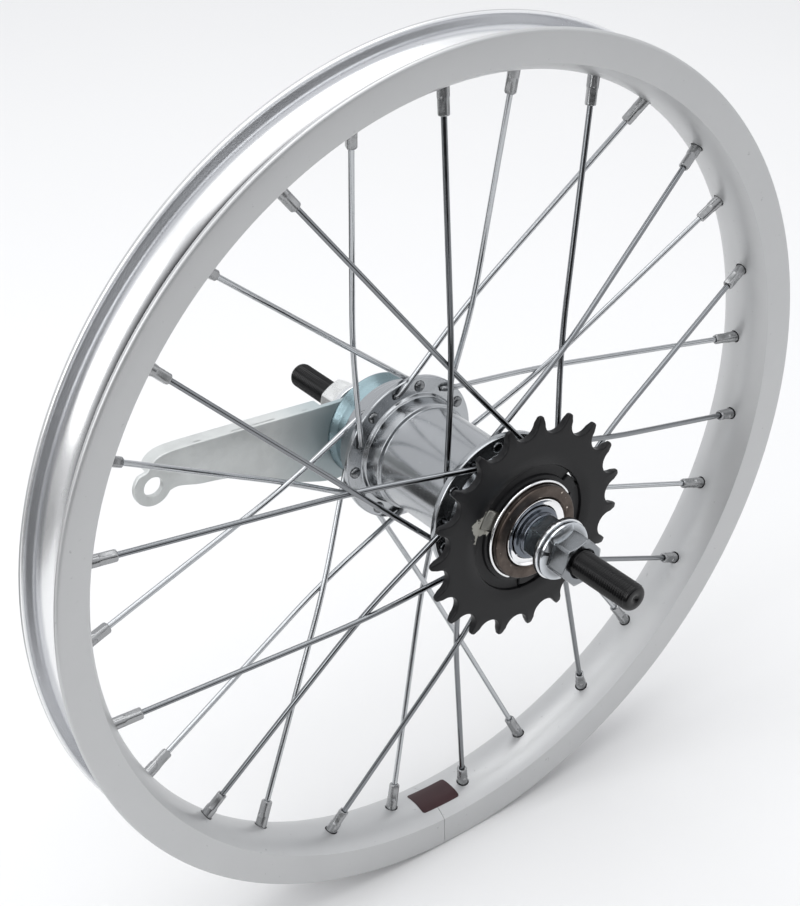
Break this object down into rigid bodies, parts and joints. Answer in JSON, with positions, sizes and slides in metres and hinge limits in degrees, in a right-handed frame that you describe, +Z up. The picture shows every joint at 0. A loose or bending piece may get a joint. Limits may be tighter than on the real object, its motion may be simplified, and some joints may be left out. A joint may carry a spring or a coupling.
{
  "type": "coaster brake bicycle wheel",
  "caption": "Small spoked bicycle rear wheel in silver alloy with a back-pedal brake hub, sprocket, brake arm and threaded axle.",
  "frame": {"origin": "middle of the axle, on the wheel's axis, in the plane of the rim's centre line", "axes": "+Y along the axle from the sprocket side to the brake arm side, +Z up, brake arm towards -X"},
  "size_m": [0.318, 0.183, 0.318],
  "materials": {
    "anodised_alloy": "satin",
    "shell_alloy": "satin",
    "blank_sticker": "satin",
    "nickel_brass": "satin",
    "stainless_wire": "polished",
    "dust_cap_steel": "satin",
    "black_steel": "black oxide, satin",
    "dark_steel": "machined",
    "bright_zinc": "bright zinc",
    "zinc_steel": "zinc plated",
    "zinc_plate": "zinc plated, mottled",
    "bronzed_steel": "bronzed, heat treated",
    "black_paint": "satin black",
    "bright_wire": "polished",
    "chrome_cap": "polished",
    "spring_steel": "satin",
    "shoe_metal": "ground",
    "bearing_steel": "polished",
    "cage_steel": "pressed"
  },
  "bodies": {
    "axle_group": {"axle": "black_steel", "right_cone": "dark_steel", "right_locknut": "dark_steel", "right_washer": "bright_zinc", "right_nut": "zinc_steel", "left_brake_cone": "dark_steel", "left_dust_cap": "zinc_plate", "brake_arm": "zinc_plate", "left_locknut": "zinc_steel", "left_washer": "bright_zinc", "left_nut": "zinc_steel"},
    "wheel": {"rim": "anodised_alloy", "rim_sticker": "blank_sticker", "nipples": "nickel_brass", "spokes_drive_outer": "stainless_wire", "spokes_drive_inner": "stainless_wire", "spokes_left_outer": "stainless_wire", "spokes_left_inner": "stainless_wire", "hub_shell": "shell_alloy", "shell_dust_cap": "dust_cap_steel"},
    "drive_unit": {"driver": "bronzed_steel", "sprocket": "black_paint", "snap_ring": "bright_wire", "driver_dust_cap": "chrome_cap"},
    "clutch": {"clutch_cone": "dark_steel", "retarder_spring": "spring_steel"},
    "shoe_upper": {"brake_shoe_upper": "shoe_metal"},
    "shoe_lower": {"brake_shoe_lower": "shoe_metal"},
    "drive_bearing": {"drive_balls": "bearing_steel", "drive_cage": "cage_steel"},
    "left_bearing": {"left_balls": "bearing_steel", "left_cage": "cage_steel"},
    "driver_bearing": {"driver_balls": "bearing_steel", "driver_cage": "cage_steel"}
  },
  "joints": [
    {"name": "wheel_spin", "type": "hinge", "parent": "axle_group", "child": "wheel", "pos_m": [0, 0, 0], "axis": [0, 1, 0], "continuous": true},
    {"name": "driver_spin", "type": "hinge", "parent": "axle_group", "child": "drive_unit", "pos_m": [0, -0.04, 0], "axis": [0, 1, 0], "continuous": true},
    {"name": "clutch_slide", "type": "slide", "parent": "axle_group", "child": "clutch", "axis": [0, 1, 0], "range_m": [0, 0.003]},
    {"name": "shoe_upper_slide", "type": "slide", "parent": "axle_group", "child": "shoe_upper", "axis": [0, 0, 1], "range_m": [0, 0.0003]},
    {"name": "shoe_lower_slide", "type": "slide", "parent": "axle_group", "child": "shoe_lower", "axis": [0, 0, -1], "range_m": [0, 0.0003]},
    {"name": "drive_bearing_spin", "type": "hinge", "parent": "axle_group", "child": "drive_bearing", "pos_m": [0, -0.0315, 0], "axis": [0, 1, 0], "continuous": true},
    {"name": "left_bearing_spin", "type": "hinge", "parent": "axle_group", "child": "left_bearing", "pos_m": [0, 0.0315, 0], "axis": [0, 1, 0], "continuous": true},
    {"name": "driver_bearing_spin", "type": "hinge", "parent": "axle_group", "child": "driver_bearing", "pos_m": [0, -0.0405, 0], "axis": [0, 1, 0], "continuous": true}
  ],
  "couplings": [
    {"joint": "shoe_upper_slide", "follows": "clutch_slide", "ratio": 0.1},
    {"joint": "shoe_lower_slide", "follows": "clutch_slide", "ratio": 0.1},
    {"joint": "drive_bearing_spin", "follows": "wheel_spin", "ratio": 0.6},
    {"joint": "left_bearing_spin", "follows": "wheel_spin", "ratio": 0.6},
    {"joint": "driver_bearing_spin", "follows": "driver_spin", "ratio": 0.62}
  ]
}
